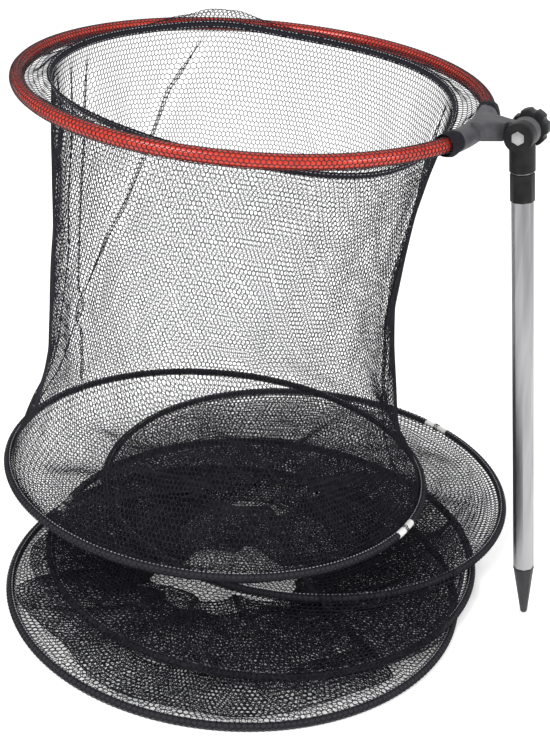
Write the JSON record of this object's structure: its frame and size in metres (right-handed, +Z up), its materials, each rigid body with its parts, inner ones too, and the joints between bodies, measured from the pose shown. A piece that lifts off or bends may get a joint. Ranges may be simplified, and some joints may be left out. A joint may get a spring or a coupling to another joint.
{
  "type": "keep net",
  "caption": "Round hooped angler's keep net, black netting under a red mouth ring, with a toothed tilting head, clamp knob and bank stick.",
  "frame": {"origin": "on the floor under the middle of the overall box", "axes": "+Z up, -Y towards the side that faces the viewer in the picture, +X towards the bank stick"},
  "size_m": [0.5006, 0.5602, 0.4583],
  "materials": {
    "red_alloy": "red anodised satin",
    "black_net": "soft black netting",
    "black_tape": "woven black binding tape",
    "black_rod": "satin black",
    "white_plastic": "off-white",
    "grey_nylon": "moulded, fine grain",
    "black_nylon": "moulded, fine grain",
    "zinc_steel": "bright zinc",
    "brass": "turned",
    "bare_alloy": "drawn, satin"
  },
  "bodies": {
    "base": {"base_hoop": "black_rod", "joiner_base": "white_plastic", "hem_base": "black_net", "base_net": "black_net", "net_section_4": "black_net"},
    "lower_hoop": {"hoop_3": "black_rod", "joiner_3": "white_plastic", "hem_3": "black_net", "net_section_3": "black_net"},
    "middle_hoop": {"hoop_2": "black_rod", "joiner_2": "white_plastic", "hem_2": "black_net", "net_section_2": "black_net"},
    "upper_hoop": {"hoop_1": "black_rod", "joiner_1": "white_plastic", "hem_1": "black_net", "net_section_1": "black_net"},
    "mouth": {"mouth_ring": "red_alloy", "mouth_sleeve": "black_net", "mouth_skirt": "black_net", "mouth_tape": "black_tape", "ring_yoke": "grey_nylon"},
    "head": {"head_body": "black_nylon", "tilt_bolt": "zinc_steel", "threaded_stud": "zinc_steel"},
    "washer": {"clamp_washer": "zinc_steel"},
    "knob": {"clamp_knob": "black_nylon", "knob_insert": "brass"},
    "stick": {"stick_collar": "black_nylon", "stick_insert": "brass", "stick_tube": "bare_alloy", "stick_spike": "black_nylon"}
  },
  "joints": [
    {"name": "lower_hoop_lift", "type": "slide", "parent": "base", "child": "lower_hoop", "axis": [0, 0, 1], "range_m": [0, 0.3], "deforming": ["net_section_4"]},
    {"name": "middle_hoop_lift", "type": "slide", "parent": "lower_hoop", "child": "middle_hoop", "axis": [0, 0, 1], "range_m": [0, 0.3], "deforming": ["net_section_3"]},
    {"name": "upper_hoop_lift", "type": "slide", "parent": "middle_hoop", "child": "upper_hoop", "axis": [0, 0, 1], "range_m": [0, 0.3], "deforming": ["net_section_2"]},
    {"name": "mouth_lower", "type": "slide", "parent": "upper_hoop", "child": "mouth", "axis": [0, 0, 1], "range_m": [-0.25, 0], "deforming": ["net_section_1"]},
    {"name": "head_tilt", "type": "hinge", "parent": "mouth", "child": "head", "pos_m": [0.18491, -0.06163, 0.44263], "axis": [-0.3908, -0.9204, -0.0093], "range_deg": [0, 105]},
    {"name": "stick_turn", "type": "hinge", "parent": "head", "child": "stick", "pos_m": [0.18491, -0.06163, 0.44263], "axis": [-0.1398, 0.0494, 0.989], "range_deg": [-180, 180]},
    {"name": "washer_slide", "type": "slide", "parent": "head", "child": "washer", "axis": [0.3908, 0.9204, 0.0093], "range_m": [0, 0.003]},
    {"name": "knob_spin", "type": "hinge", "parent": "washer", "child": "knob", "pos_m": [0.18491, -0.06163, 0.44263], "axis": [0.3908, 0.9204, 0.0093], "range_deg": [0, 1080]}
  ],
  "couplings": [
    {"joint": "knob_spin", "follows": "washer_slide", "rad_per_m": 6283.2}
  ]
}
